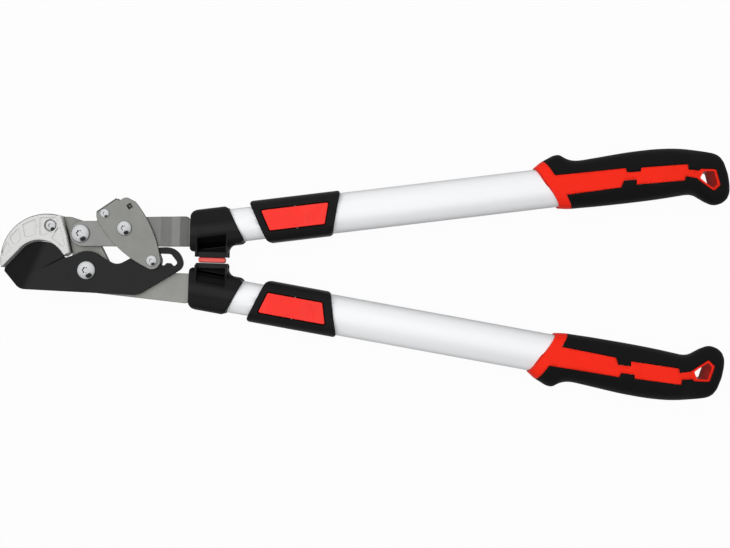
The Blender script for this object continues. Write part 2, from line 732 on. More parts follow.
ARM_TILT = math.radians(1.8)
ARM_LOW, ARM_HIGH, ARM_WIDE, ARM_ROUND = -11.7, 11.5, 14.9, 1.5
BAR_SHOULDERS, BAR_SWELL, BAR_ROUND = (15, 13.3), (34, 54), 12


def on_arm(x, y):
    """Plan point of the upper bar, along it and outwards from its pivot."""
    c, s = math.cos(ARM_TILT), math.sin(ARM_TILT)
    return tuple(ARM + [x * c - y * s, x * s + y * c])


def make_upper_arm():
    """Bar that drops in two steps to the middle of its tube; its height depends on x alone."""
    middle = (ARM_LOW + ARM_HIGH) / 2
    tilt = math.degrees(ARM_TILT)
    nose = arc(on_arm(ARM_ROUND, middle), (ARM_HIGH - ARM_LOW) / 2, 90 + tilt, 270 + tilt, 24)
    body = rounded([on_arm(ARM_ROUND, ARM_LOW)] + arm_end(UPPER, *BAR_SHOULDERS)
                   + [with_radius(on_arm(BAR_SWELL[1], ARM_WIDE), BAR_ROUND),
                      with_radius(on_arm(BAR_SWELL[0], ARM_HIGH), BAR_ROUND),
                      on_arm(ARM_ROUND, ARM_HIGH)])
    steps = ARM_STEPS - PIVOT[0]
    outline = crossed(loop_of(body[1:-1], nose), steps)
    drop = (BLADE_LOW - TANG_LOW) * np.array([0, 0.5, 0.5, 1])

    def top(p):
        return BLADE_TOP - np.interp(p[..., 0], steps, drop)

    def low(p):
        return BLADE_LOW - np.interp(p[..., 0], steps, drop)

    creases = [np.flatnonzero(np.abs(outline[:, 0] - x) < NEAR)[:2] for x in steps]
    skin = Skin()
    holes = [circle_hole(ARM, MAIN_HOLE), circle_hole(LINK, LINK_HOLE)]
    pressed(skin, [outline] + holes, low, top, SHEET_EDGE, creases)
    skin.make("upper_arm_sheet", bar_steel, "upper_arm_bar", sharp=12)


NOTCH_PITCH, PAWL_SEAT, TOOTH_DROP, SLOT_TOP = 9.75, 3.5, 1.7, 17.1
SLOT_LEAN, LAST_RISE = 2.6, 0.4


def tail_slot():
    """Slot in the blade's tail: three V notches with blunt teeth between, and a leaning end."""
    bottom = PAWL[1] - PAWL_SEAT * math.sqrt(2)
    tooth = PAWL[1] - TOOTH_DROP
    rise = tooth - bottom
    start, last = PAWL[0] - PAWL_SEAT, PAWL[0] + 2 * NOTCH_PITCH
    notches = []
    for i in range(3):
        x = PAWL[0] + i * NOTCH_PITCH
        notches += [(start, bottom + PAWL_SEAT) if i == 0 else (x - rise, tooth, 0.5), (x, bottom, 2),
                    (x + rise + LAST_RISE, tooth + LAST_RISE, 2) if i == 2 else (x + rise, tooth, 0.5)]
    return rounded([(start, SLOT_TOP, 3)] + notches + [(last - SLOT_LEAN, SLOT_TOP, 4)])


BLADE_T, CUT_T, BEVEL_W = 4.5, 0.8, 22
BEVEL_FALL = (BLADE_T - CUT_T) / 2 / BEVEL_W
SPINE = [tuple(BLADE_TIP), (-60.9, -19, 11), (46.5, -21.4, 14), with_radius(PAWL + [29.3, -5], 8),
         with_radius(PAWL + [23.3, 13.5], 15), tuple(PAWL + [-2.2, 11.8])]
DIP = arc((26.8, 19.3), 12.5, 300, 232, 14)
BOSS = arc((0, 0), 17.5, 48, 126, 20)
HEEL_STEP = JAW_HEEL + np.array([[1, -1.2], [-1.5, -0.6]])


def make_blade():
    """Coated blade: each face falls away beyond the two bevel lines, by the farther of the two."""
    inner = polar(JAW_C, JAW_R, JAW_FRONT)
    away = unit([inner[1] - JAW_TIP[1], JAW_TIP[0] - inner[0]]) * JAW_GAP
    cut = arc(JAW_C, JAW_R - JAW_GAP, BLADE_BACK, JAW_FRONT, 32)
    outline = loop_of(rounded(SPINE, 10), DIP, BOSS, HEEL_STEP, cut, JAW_TIP + away)
    ways = [unit(b - a) for a, b in zip(BEVEL[:-1], BEVEL[1:])]

    def fall(p):
        """Depth of the ground face under the flat one."""
        past = [(p[..., 1] - a[1]) * -w[0] + (p[..., 0] - a[0]) * w[1] for a, w in zip(BEVEL, ways)]
        return np.maximum(np.maximum(*past), 0) * BEVEL_FALL

    skin = Skin()
    pressed(skin, [outline, tail_slot()[::-1], circle_hole((0, 0), MAIN_HOLE)],
            lambda p: BLADE_LOW + fall(p), lambda p: BLADE_TOP - fall(p), GROUND_EDGE, step=1.6)
    skin.make("blade_coated", coat, "blade", sharp=30)


LINK_T, LINK_EDGE, REAR_EDGE, TAB_EDGE = 2.2, 0.6, 0.45, 0.2
REAR_LESS, FOLD_R, HOOK_HALF = 2.4, 1.8, 3.05


def link_outline(less=0.0):
    """Outline of one side of the link: the folded tab, a shoulder cut by less, and the pawl's end."""
    end_r = 8
    shoulder = LINK + [9.1 - less, 24.4 - less / 2]
    top = rounded([(-26.1, 12.5), (-26.1, 14.9, 1), (-8.7, 27.3, 1), (-5.6, 24.8, 1),
                   (0.3 - less, 28.8 - less / 2, 5.5 - less), tuple(shoulder - LINK)]) + LINK
    right = bulge(polar(PAWL, end_r, 12), shoulder, 3.9 - less * 0.8)[::-1]
    left = bulge(LINK + [-24.7, 6], polar(PAWL, end_r, 231), 4.9)[::-1]
    return loop_of(top, right[1:], arc(PAWL, end_r, 12, -129, 14)[1:-1], left, LINK + [-25.9, 9.5])[::-1]


def make_link():
    """Sheet yoke: two sides with pressed edges, the front one rolled down a quarter round to the tab."""
    a, b = TAB
    way = unit(b - a)
    left = np.array([-way[1], way[0]])

    def fold(p):
        """Drop of a quarter round at the tab's edge."""
        short = np.clip(FOLD_R + (p - a) @ left, 0, FOLD_R)
        return FOLD_R - np.sqrt(FOLD_R ** 2 - short ** 2)

    square = polar(HOOK_HOLE, HOOK_HALF, np.array([80, -10, -100, -190]))
    holes = [circle_hole(*h) for h in ((LINK, LINK_HOLE), (PAWL, PAWL_HOLE), (STOP, STOP_HOLE))]
    skin = Skin()
    pressed(skin, [link_outline()] + holes + [square], lambda p: LINK_TOP - LINK_T - fold(p),
            lambda p: LINK_TOP - fold(p), LINK_EDGE, step=0.9)
    pressed(skin, [link_outline(REAR_LESS)] + holes, LINK_LOW, LINK_LOW + LINK_T, REAR_EDGE)
    tab = rounded([tuple(a + way), tuple(a + way - left * LINK_T), tuple(b - way - left * LINK_T),
                   tuple(b - way)])
    pressed(skin, [tab], LINK_LOW + LINK_T / 2, LINK_TOP - LINK_T, TAB_EDGE)
    skin.make("link_folded", link_steel, "link_yoke")


# Fasteners
TURNS = np.radians(np.arange(0, 360, 5))
HEAD_TO_THREAD, HEAD_RISE, RIM_SHARE, SOCKET_SHARE = 1.7, 0.42, 0.3, 0.30
CROWN, SOCKET_LEVELS = np.linspace(0.42, 0.96, 8), (0.30, 0.34, 0.40)
RIM_ROUND = [(0.99, 0.85), (1.0, 0.55), (0.995, 0.1), (0.97, 0.0)]
NUT_TO_THREAD, NUT_PLAY, NUT_EDGE = 1.85, 0.06, 0.2


def star_radius(r):
    """Radius of a six-lobed socket, a little wavy all round."""
    return r * (0.88 + 0.12 * np.cos(6 * TURNS))


def turned(skin, centre, radii, levels):
    """Surface turned about a vertical axis; a radius or a level may also vary round the axis."""
    r, z = [np.array([np.broadcast_to(v, TURNS.shape) for v in row]) for row in (radii, levels)]
    skin.grid(np.stack([centre[0] + r * np.cos(TURNS), centre[1] + r * np.sin(TURNS), z + PIVOT[2]], -1))


def make_bolt(node):
    """Button head with a star socket: floor, wavy wall, dome down to a rolled rim, then the shank."""
    low, high = box_of(node)
    centre, r = (low + high)[:2] / 2, (high - low)[0] / 2
    d = 2 * r / HEAD_TO_THREAD
    rise = HEAD_RISE * d
    seat = high[2] - rise
    edge = rise * RIM_SHARE
    ball = (r * r + (rise - edge) ** 2) / 2 / (rise - edge)
    socket = star_radius(d * SOCKET_SHARE)
    crown = CROWN * r
    dome = seat + rise - ball + np.sqrt(ball ** 2 - crown ** 2)
    skin = Skin()
    radii = [0, socket * 0.9, socket, socket, socket * 1.08, *crown] + [r * k for k, _ in RIM_ROUND]
    levels = [seat + rise * k for k in SOCKET_LEVELS] + [dome[0] - rise * 0.05, dome[0], *dome]
    levels += [seat + edge * k for _, k in RIM_ROUND]
    turned(skin, centre, radii + [d / 2, d / 2, d / 2 - 0.5, 0],
           levels + [seat, low[2] + 0.5, low[2], low[2]])
    skin.make(node + "_button", zinc, node, sharp=40)


def make_nut(node):
    """Hexagon with rounded corners, a bevelled outer face and a bore."""
    low, high = box_of(node)
    centre, r = (low + high)[:2] / 2, (high - low)[0] / 2
    flat = r * math.cos(math.pi / 6)
    hexagon = np.minimum(flat / np.cos((TURNS + math.pi / 6) % (math.pi / 3) - math.pi / 6), r * 0.985)
    bore = r / NUT_TO_THREAD + NUT_PLAY
    bevel = np.minimum(hexagon, flat * 0.99)
    drop = (hexagon - bevel) * 0.6
    skin = Skin()
    turned(skin, centre, [bore, hexagon - NUT_EDGE, hexagon, hexagon, bevel, bore + 0.4, bore, bore],
           [high[2], high[2], high[2] - NUT_EDGE, low[2] + 0.15 + drop, low[2], low[2], low[2] + 0.4,
            high[2]])
    skin.make(node + "_hexagon", zinc, node, sharp=25)


# Link spring: the wire's route is the coil on the stop bolt with a straight leg at each end
WIRE_D, STOP_D, COIL_TURNS = 0.8, 5.0, 2
COIL_R = STOP_D / 2 + 0.3 + WIRE_D / 2


def make_spring():
    """Round wire carried along the coil's helix, its two legs and the hook into the link."""
    z0, z1 = BLADE_LOW + WIRE_D / 2 + 0.2, LINK_TOP - LINK_T - WIRE_D / 2 - 0.5
    foot = np.array(on_arm(13.5, ARM_HIGH + WIRE_D / 2 + 0.3))
    hook_way, foot_way = HOOK_HOLE - STOP, foot - STOP
    angle = [math.degrees(math.atan2(*w[::-1])) for w in (hook_way, foot_way)]
    lean = [math.degrees(math.asin(COIL_R / np.linalg.norm(w))) for w in (hook_way, foot_way)]
    start, stop = angle[1] + 90 - lean[1] - 360, angle[0] - 90 + lean[0] + 360 * COIL_TURNS
    share = np.linspace(0, 1, 90)
    coil = polar(STOP, COIL_R, start + (stop - start) * share)
    bend = 1.6
    quarter = np.linspace(0, math.pi / 2, 6)
    rise = HOOK_HOLE - unit(hook_way) * (bend - bend * np.sin(quarter))[:, None]
    path = np.concatenate([head(foot[None], z0), head(coil, z0 + (z1 - z0) * share),
                           head(rise, z1 + bend * (1 - np.cos(quarter))),
                           head(HOOK_HOLE[None], LINK_TOP - 0.2)])
    ahead = np.gradient(path, axis=0)
    ahead /= np.linalg.norm(ahead, axis=1, keepdims=True)
    side = np.cross(ahead, [0.02, 0.01, 1.0])
    side /= np.linalg.norm(side, axis=1, keepdims=True)
    up = np.cross(side, ahead)
    a = np.radians(np.arange(0, 360, 30))
    ring = side[:, None] * np.cos(a)[None, :, None] + up[:, None] * np.sin(a)[None, :, None]
    rows = path[:, None] + ring * WIRE_D / 2
    ends = [np.broadcast_to(p, rows[:1].shape) for p in (path[0], path[-1])]
    skin = Skin()
    skin.grid(np.concatenate([ends[0], rows, ends[1]]))
    skin.make("link_spring_wire", spring_wire, "link_spring", sharp=60)


# Handles
TUBE_W, TUBE_H, TUBE_WALL = 36.5, 25.0, 1.5
INNER_W, INNER_H = 31.0, 19.5
COLLAR_LEN, COLLAR_W, COLLAR_H = 42.5, 36.2, 24.7
COLLAR_NOSE, COLLAR_SLANT, NOSE_WIDER = -0.5, 0.34, 1.7
SLEEVE_AT, SLEEVE_LEN, SLEEVE_W, SLEEVE_H = 234.0, 83.5, 40.3, 31.0
END_SLANT = 0.3
ROCKER_MID, ROCKER_LEN, ROCKER_W = 275.0, 55.4, 18.9
TUBE_AT, GRIP_AT = 284.0, 497.0
TUBE_END, INNER_END, INNER_AT = 632.0, 536.0, 186.0
SLIDE_PLAY, PRESS_PLAY = 0.6, 0.2


def oval(w, h, n=96):
    """Section of a tube, outwards and up."""
    a = np.radians(np.arange(n) * 360 / n)
    return np.stack([w / 2 * np.cos(a), h / 2 * np.sin(a)], 1)


def make_outer_tube(side):
    """Oval tube: the section carried along the axis, outside and back inside."""
    wall = 2 * TUBE_WALL
    stations = [(TUBE_AT, 0), (TUBE_END, 0), (TUBE_END, wall), (TUBE_AT, wall), (TUBE_AT, 0)]
    rows = [oval(TUBE_W - k, TUBE_H - k) for _, k in stations]
    skin = Skin()
    skin.grid(np.array([handle(side, s, r[:, 0], r[:, 1]) for (s, _), r in zip(stations, rows)]))
    skin.make(SIDES[side] + "_tube_drawn", tube_finish[side], SIDES[side] + "_outer_tube")


LOCK_PITCH, LOCK_HOLE, PEG_REACH, SLIDE = 50.0, 6.8, 21.0, 250
SQUEEZE = np.array([1 / 8, 1.0])


def frame_of(long, around):
    """Edge of an unrolled wall, from its lengthwise points and its points around."""
    level, upright = np.ones_like(long), np.ones_like(around)
    return loop_of(np.stack([long, level * around[0]], 1), np.stack([upright * long[-1], around], 1)[1:],
                   np.stack([long[::-1], level * around[-1]], 1)[1:],
                   np.stack([upright * long[0], around[::-1]], 1)[1:-1])


def make_inner_tube(side):
    """Oval tube unrolled to (along, angle), with its row of lock holes cut before it is rolled up.

    The lengths are squeezed while it is cut into triangles, which are then long ones along the tube.
    """
    edge = frame_of(np.linspace(INNER_AT, INNER_END, 40), np.linspace(-90, 270, 97))
    holes = []
    for d in np.arange(0, SLIDE + 1, LOCK_PITCH):
        ring = arc((0, 0), LOCK_HOLE / 2, 360, 12, 29)
        turn = np.degrees(np.arccos(np.clip(ring[:, 1] / (INNER_W / 2), -1, 1)))
        holes.append(np.stack([ROCKER_MID - PEG_REACH + d + ring[:, 0], turn], 1))

    def roll(p):
        """Squeezed (along, angle) to a place on the oval."""
        a = np.radians(p[:, 1])
        return handle(side, p[:, 0] / SQUEEZE[0], INNER_W / 2 * np.cos(a), INNER_H / 2 * np.sin(a))

    skin = Skin()
    skin.patch([line * SQUEEZE for line in [edge] + holes], roll, step=3.75)
    skin.make(SIDES[side] + "_slider_drawn", tube_finish[side], SIDES[side] + "_inner_tube", sharp=50,
              thick=TUBE_WALL)


def box_section(w, h, r, n=10, along_side=10):
    """Rounded rectangle of a moulding's cross-section, outwards and up."""
    corners = [(w / 2, -h / 2, r), (w / 2, h / 2, r), (-w / 2, h / 2, r), (-w / 2, -h / 2, r)]
    return finer(rounded(corners, n), w / along_side)


def round_off(out, half, inner_r, outer_r):
    """How far the end of a moulding falls back near its two sides: quarter rounds."""
    r = np.where(out > 0, outer_r, inner_r)
    past = np.clip(np.abs(out) - (half - r), 0, r)
    return r - np.sqrt(r * r - past ** 2)


def sleeve_ends(out):
    """Front and back of the sleeve: slanted alike, and rounded where they meet its sides."""
    shy = END_SLANT * (SLEEVE_W / 2 - out) + round_off(out, SLEEVE_W / 2, 3, 3)
    return SLEEVE_AT + shy, SLEEVE_AT + SLEEVE_LEN - shy


def collar_ends(out):
    """Front of the collar, square to the centre line, and its leaning back."""
    half = COLLAR_W / 2
    wide = np.where(out > 0, half, half + NOSE_WIDER)
    front = COLLAR_AT - COLLAR_NOSE + out * AXIS[1] / AXIS[0] + round_off(out, wide, 2.5, 5)
    return front, COLLAR_AT + COLLAR_LEN - COLLAR_SLANT * out - round_off(out, half, 6, 3)


def slanted(mid, length, w, r):
    """Plan of the rocker and its window: longer on the outer side."""
    lean = END_SLANT * w / 2
    half = length / 2
    return rounded([(mid - half + lean, -w / 2, r), (mid + half - lean, -w / 2, r),
                    (mid + half + lean, w / 2, r), (mid - half - lean, w / 2, r)])


def oval_mouth(section, w, h):
    """Oval with one point for each point of a section, at the same angle."""
    a = np.arctan2(section[:, 1] / h, section[:, 0] / w)
    return np.stack([w / 2 * np.cos(a), h / 2 * np.sin(a)], 1)


def slot_mouth(section, w, h):
    """Section shrunk to the size of a slot."""
    return section * [w, h] / np.ptp(section, 0)


ROOF_ROWS = 50


def capped(skin, side, sections, ends, fillet, mouths, widen_at, opening=None):
    """Ends of a moulding, each rolled over by the fillet to a mouth, and the stepped bore between them.

    Each bore keeps its mouth's shape up to the step. The part of its roof that lies in the plan of the
    opening is left out.
    """
    for which, inward in ((0, 1), (1, -1)):
        section, mouth, rows = sections[which], mouths[which], []
        for a in QUARTER:
            ring = inset(section, fillet * (1 - math.cos(a)))
            at = ends(section[:, 0])[which] + inward * fillet * (1 - math.sin(a))
            rows.append(handle(side, at, ring[:, 0], ring[:, 1]))
        at = ends(mouth[:, 0])[which]
        rows.append(handle(side, at, mouth[:, 0], mouth[:, 1]))
        skin.grid(np.array(rows))
        share = np.linspace(0, 1, 2 if opening is None else ROOF_ROWS)[:, None]
        along = at * (1 - share) + widen_at * share
        out, up = [np.broadcast_to(mouth[:, i], along.shape) for i in (0, 1)]
        drop = False
        if opening is not None:
            middle = np.stack([along[:-1] + along[1:], out[1:] + np.roll(out[1:], -1, 1)], -1) / 2
            drop = inside(middle.reshape(-1, 2), [opening]).reshape(middle.shape[:2]) & (up[1:] > 0)
        skin.grid(handle(side, along, out, up), drop=drop)
    skin.grid(np.array([handle(side, widen_at, m[:, 0], m[:, 1]) for m in mouths]),
              drop=opening is not None and mouths[0][:, 1] > TUBE_H / 4)


def window_marks(f):
    """Deep shade in the gap around the rocker."""
    gap_shade = 0.85
    _, along, out = f.on_handle()
    within = along.band(ROCKER_MID - ROCKER_LEN / 2 - 4, ROCKER_MID + ROCKER_LEN / 2 + 4, 0.5)
    within = within * out.band(-ROCKER_W / 2 - 1.4, ROCKER_W / 2 + 1.4, 0.3)
    return 1 - within * f.up().ramp(SLEEVE_H / 2 - 0.1, SLEEVE_H / 2 - 0.8) * gap_shade


sleeve_black = painted("sleeve_black_finish", "black_plastic", srgb(23, 23, 23), marks=window_marks,
                       **MOULDED)
SLEEVE_ROUND, SLEEVE_FILLET, WINDOW_GAP = 11, 1.0, 1.0
LEDGE_W, LEDGE_AT, LEDGE_UP = 5.0, (270.0, 280.0), (10.5, 12.7)


def ledge(along):
    """Height of the ledge round the window's foot: low at the peg's end, higher over the outer tube."""
    return np.interp(along, LEDGE_AT, LEDGE_UP)


def make_sleeve(side):
    """Moulded sleeve: a section carried between two slanted ends, with a pocket for the rocker."""
    fillet = SLEEVE_FILLET
    section = box_section(SLEEVE_W, SLEEVE_H, SLEEVE_ROUND)
    # The unrolled wall starts and ends at the middle of the underside
    turn = np.argmin(np.abs(section[:, 0]) + (section[:, 1] > 0) * 1e3)
    section = np.roll(section, -turn, 0)
    lengths = np.linalg.norm(np.roll(section, -1, 0) - section, axis=1)
    reach = np.concatenate([[0], np.cumsum(lengths)])
    closed = np.concatenate([section, section[:1]])

    def lay(p):
        """Sheared map: share along between the ends, and way round the section, to a place."""
        out = np.interp(p[:, 1], reach, closed[:, 0])
        up = np.interp(p[:, 1], reach, closed[:, 1])
        front, back = sleeve_ends(out)
        share = p[:, 0] / SLEEVE_LEN
        return handle(side, (front + fillet) * (1 - share) + (back - fillet) * share, out, up)

    upper = np.flatnonzero(section[:, 1] > SLEEVE_H / 2 - 6)
    order = upper[np.argsort(section[upper, 0])]
    gaps = 2 * WINDOW_GAP
    window = finer(slanted(ROCKER_MID, ROCKER_LEN + gaps, ROCKER_W + gaps, 1.8), 3)
    front, back = sleeve_ends(window[:, 1])
    share = (window[:, 0] - front - fillet) / (back - front - 2 * fillet)
    unrolled = np.stack([share * SLEEVE_LEN,
                         np.interp(window[:, 1], section[order, 0], reach[:-1][order])], 1)
    edge = frame_of(np.linspace(0, SLEEVE_LEN, 24), reach)
    skin = Skin()
    skin.patch([edge, unrolled], lay, step=3)
    rim = lay(unrolled)
    low = rim.copy()
    low[:, 2] = ledge(window[:, 0]) + PIVOT[2]
    skin.grid(np.array([rim, low]))
    opening = finer(slanted(ROCKER_MID, ROCKER_LEN - LEDGE_W, ROCKER_W - LEDGE_W, 1.2), 3)
    skin.patch([window, opening], lambda p: handle(side, p[:, 0], p[:, 1], ledge(p[:, 0])))
    mouths = [oval_mouth(section, INNER_W + SLIDE_PLAY, INNER_H + SLIDE_PLAY),
              oval_mouth(section, TUBE_W + PRESS_PLAY, TUBE_H + PRESS_PLAY)]
    capped(skin, side, [section, section], sleeve_ends, fillet, mouths, TUBE_AT - 1, opening)
    skin.make(SIDES[side] + "_sleeve_moulded", sleeve_black, SIDES[side] + "_sleeve", sharp=40)


ROCKER_LOW, ROCKER_TOP = 13.4, 16.1
RIB_COUNT, RIB_PITCH, RIB_W, RIB_BACK, RIB_IN = 5, 2.0, 0.8, 7.5, 3.2
DIMPLE_LEN, DIMPLE_IN, DIMPLE_W = 11.0, 2.3, 0.7
GROOVE_ROUND, GROOVE_CUT = 0.3, (0.22, 0.1, 0.05)
CROWN_BACK, CROWN_FRONT = 0.5, 0.15


def make_rocker(side):
    """Crowned plate in the sleeve's window, with grooves under the thumb and one along either side."""
    outline = finer(slanted(ROCKER_MID, ROCKER_LEN, ROCKER_W, 1.2), 2.5)
    grooves = []
    for i in range(RIB_COUNT):
        x = ROCKER_MID + ROCKER_LEN / 2 - RIB_BACK - i * RIB_PITCH
        y = ROCKER_W / 2 - RIB_IN
        lean = END_SLANT * y
        grooves.append([(x - lean - RIB_W / 2, -y), (x - lean + RIB_W / 2, -y),
                        (x + lean + RIB_W / 2, y), (x + lean - RIB_W / 2, y)])
    for middle in (DIMPLE_IN - ROCKER_W / 2, ROCKER_W / 2 - DIMPLE_IN):
        front, back = ROCKER_MID - DIMPLE_LEN / 2, ROCKER_MID + DIMPLE_LEN / 2
        low, high = middle - DIMPLE_W / 2, middle + DIMPLE_W / 2
        grooves.append([(front, low), (back, low), (back, high), (front, high)])
    cuts = [(rounded([with_radius(p, GROOVE_ROUND) for p in g], 3), *GROOVE_CUT) for g in grooves]

    def top(p):
        along = (p[..., 0] - ROCKER_MID) / (ROCKER_LEN / 2)
        fall = CROWN_BACK * np.clip(along, 0, 2) ** 2
        return ROCKER_TOP - fall - CROWN_FRONT * np.clip(-along, 0, 2) ** 2

    skin = Skin()
    pressed(skin, [outline], ROCKER_LOW, top, 0.6, recesses=cuts, step=2.5,
            place=lambda p, z: handle(side, p[..., 0], p[..., 1], z))
    skin.make(SIDES[side] + "_rocker_moulded", latch_red, SIDES[side] + "_rocker", sharp=40)


BLOCK_AT, BLOCK_W, BLOCK_H, BUMPER_T = 21.4, 31.2, 18.0, 5.1
BLOCK_X = (COLLAR_AT + BLOCK_AT) * AXIS[0]
BLOCK_SPAN = BLOCK_X - BLOCK_W / 2, BLOCK_X + BLOCK_W / 2 - 1.4
BLOCK_RIB, BLOCK_BAR, BLOCK_WEB, BLOCK_FLARE = 2.0, 4.6, 8.0, 7.0
BLOCK_LOW, BLOCK_EDGE = 0.5, 0.5
BLOCK_GAP, BLOCK_ROUND = {UPPER: 0, LOWER: 0.3}, {UPPER: 0, LOWER: 2}
CORE_FROM, CORE_WALL = -8.5, 1.2
COLLAR_FILLET, COLLAR_ROUND, TANG_SLOT = 1.2, 8, (INNER_W - 0.6, 5.4)


def pocket_marks(f):
    """Sheen along the middle of the collar, and deep shade between the ribs of the stop block.

    In the pocket only the stop bar and the collar's inner edge catch the light.
    """
    shaded, upper_deep, lower_less = 0.55, 0.93, 0.35
    x, _, out = f.on_handle()
    y = f.past((0.0, 0.0), (1.0, 0.0))
    low = BUMPER_T / 2 + BLOCK_BAR
    edge = -COLLAR_W / 2
    between = x.band(BLOCK_SPAN[0] + BLOCK_RIB, BLOCK_SPAN[1] - BLOCK_RIB, 0.3)
    above = out.ramp(edge + 0.5, edge + 1.1) * out.ramp(CORE_FROM + 4, CORE_FROM - 1)
    below = out.ramp(edge - 0.2, edge - 0.8) * y.size().ramp(low, low + 0.6)
    lit = out.band(-5, 2.5, 2.5).most(out.ramp(edge - 0.3, edge - 1.2))
    deep = upper_deep - y.ramp(0.1, -0.1) * above * lower_less
    return (shaded + lit * (1 - shaded)) * (1 - between * above.most(below) * deep)


collar_black = painted("collar_black_finish", "black_plastic", srgb(35, 35, 36), marks=pocket_marks,
                       **MOULDED)


def across(side, p, z):
    """Points along the centre line from the crossing of the axes and outwards, as points of the frame."""
    return head(np.stack([p[..., 0] - AXIS_CROSS, side * p[..., 1] - PIVOT[1]], -1), z)


def collar_edge(x):
    """Point of the collar's inner side, at x along the centre line."""
    return np.array([x, (x * AXIS[1] - COLLAR_W / 2) / AXIS[0]])


def cored(section):
    """Section of the collar between the ribs: cut down to a wall around the tube, on its inner side."""
    out, up = section[:, 0], section[:, 1]
    share = np.clip(1 - (out / (INNER_W / 2 + CORE_WALL)) ** 2, 0, 1)
    left = np.maximum((INNER_H / 2 + CORE_WALL) * np.sqrt(share), BLOCK_WEB / 2)
    cut = np.where(out < CORE_FROM - 0.1, np.minimum(np.abs(up), left), np.abs(up))
    return np.stack([out, np.sign(up) * cut], 1)


def make_collar(side):
    """Moulded joint: a boxy section between its ends, cored out between two ribs above the stop block."""
    fillet = COLLAR_FILLET
    section = crossed(box_section(COLLAR_W, COLLAR_H, COLLAR_ROUND), [CORE_FROM, CORE_FROM - 0.3])
    hollow = cored(section)
    nose = section * np.where(section[:, :1] < 0, [1 + 2 * NOSE_WIDER / COLLAR_W, 1], 1)
    first = collar_ends(nose[:, 0])[0] + fillet
    last = collar_ends(section[:, 0])[1] - fillet
    left, right = BLOCK_SPAN
    pocket = [(x + section[:, 0] * AXIS[1]) / AXIS[0] for x in
              np.linspace(left + BLOCK_RIB / 2, right - BLOCK_RIB / 2, 5)]
    stations = [(first, nose), (pocket[0], section)] + [(at, hollow) for at in pocket]
    stations += [(pocket[-1], section), (last, section)]
    skin = Skin()
    skin.grid(np.array([handle(side, np.minimum(at, last), ring[:, 0], ring[:, 1])
                        for at, ring in stations]))
    mouths = [slot_mouth(section, *TANG_SLOT),
              oval_mouth(section, INNER_W + PRESS_PLAY, INNER_H + PRESS_PLAY)]
    capped(skin, side, [nose, section], collar_ends, fillet, mouths, SHOULDER + 5)

    low = BUMPER_T / 2 + BLOCK_GAP[side]
    rib_top = COLLAR_H / 2 - 0.3
    wall = (COLLAR_W - INNER_W) / 2
    inner = collar_edge(right)
    r = BLOCK_ROUND[side]
    bar = rounded([(left, low, r), (right, low, r), (right, low + BLOCK_BAR), (left, low + BLOCK_BAR)])
    blocks = [(bar, BLOCK_H / 2)]
    edges = [tuple(collar_edge(x) + [0, wall]) for x in (right - 1, left + 1)]
    blocks.append(([(left + 1, low + 1), (right - 1, low + 1)] + edges, BLOCK_WEB / 2))
    for x in (left, right - BLOCK_RIB):
        top = collar_edge(x)[1] + 4 * wall
        blocks.append(([(x, low + r), (x + BLOCK_RIB, low + r), (x + BLOCK_RIB, top), (x, top)], rib_top))
    curve = corner(np.array([right, low + r]), inner, collar_edge(2 * right), BLOCK_FLARE, 10)
    blocks.append((loop_of(curve, inner + [-1, wall]), BLOCK_WEB))
    for outline, high in blocks:
        pressed(skin, [np.array(outline)], BLOCK_LOW, high, BLOCK_EDGE,
                place=lambda p, z: across(side, p, z))
    skin.make(SIDES[side] + "_collar_moulded", collar_black, SIDES[side] + "_collar", sharp=40)


def pad_marks(f):
    """Darker sides of the pad, where it bends down to the blocks."""
    side_shade = 0.5
    y = f.past((0.0, 0.0), (1.0, 0.0)).size()
    return 1 - y.ramp(BUMPER_T / 2 - 1.5, BUMPER_T / 2 - 0.3) * side_shade


rubber_red = painted("rubber_red_finish", "red_rubber", srgb(226, 94, 88), rough=0.5, blotch=0.05,
                     marks=pad_marks, **RED_GLOSS)
PAD_BACK, PAD_HALF, PAD_ROUND, PAD_EDGE, PAD_DROP = 1.1, 12.4, 2, 1.4, 2


def make_bumper():
    """Rubber pad between the stop blocks, rounded all over."""
    x, w, t = BLOCK_X - PAD_BACK, PAD_HALF, BUMPER_T / 2
    corners = [(x - w, -t), (x + w, -t), (x + w, t), (x - w, t)]
    outline = rounded([with_radius(c, PAD_ROUND) for c in corners])
    skin = Skin()
    pressed(skin, [outline], BLOCK_LOW, BLOCK_H / 2 - PAD_DROP, PAD_EDGE,
            place=lambda p, z: across(UPPER, p, z))
    skin.make("bumper_pad", rubber_red, "upper_bumper")


# Grips: stations along the grip, outer and inner edge from the tube's sides, share of the height
GRIP_SHAPE = [
    [-6, 0.2, 1.0, 0.95], [0, 2.0, 1.0, 0.955], [5, 5.4, 1.1, 0.96], [12, 8.4, 1.3, 0.97],
    [18, 10.6, 1.8, 0.98], [23, 10.6, 2.7, 0.985], [28, 7.0, 3.25, 0.99], [33.5, 4.5, 3.4, 1],
    [40, 3.5, 3.6, 1], [53, 3.95, 4.0, 1], [83, 5.5, 4.35, 1], [100, 5.7, 4.3, 1],
    [113, 5.35, 4.05, 1], [127, 4.1, 3.5, 1], [137, 2.5, 3.3, 0.92], [143, 1.2, 5.0, 0.81],
    [148, 0, 8.75, 0.73], [152, -1.0, 11.9, 0.69], [159, -2.9, 15.5, 0.65], [166, -5.6, 14.9, 0.62],
    [170.2, -9.75, 12.5, 0.56], [173, -17.65, 9.3, 0.43], [174.6, -27, 4.6, 0.22]]
FRONT_SLANT, BAND_W, GRIP_POWER, GROOVE = 0.46, 10.0, 0.85, 0.25
GRIP_TOP = TUBE_H / 2 + 3
